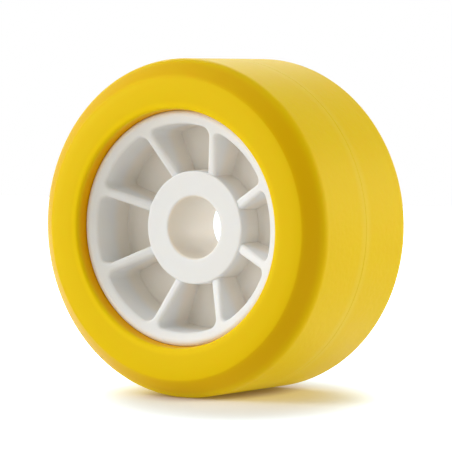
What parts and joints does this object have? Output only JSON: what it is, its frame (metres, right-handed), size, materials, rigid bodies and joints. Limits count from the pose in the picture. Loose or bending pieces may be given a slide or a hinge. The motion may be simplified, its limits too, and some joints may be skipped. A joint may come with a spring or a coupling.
{
  "type": "boat trailer roller",
  "caption": "Wide boat trailer roller: a soft yellow tyre with bevelled edges, moulded round a white spoked plastic hub with a plain bore.",
  "frame": {"origin": "on the axle, half way across the tyre, which is the middle of the whole roller", "axes": "+Z along the axle, out of the front end, whose spokes are dished less; the roller stands on its flat back end, -Z; +X through the middle of a pocket between two spokes"},
  "size_m": [0.12, 0.12, 0.0644],
  "materials": {
    "hub_plastic": "white injection-moulded plastic, fine satin surface",
    "tyre_yellow": "solid yellow elastomer, satin ends and a finely pebbled tread"
  },
  "bodies": {
    "root": {"hub": "hub_plastic", "tyre": "tyre_yellow"}
  },
  "joints": []
}
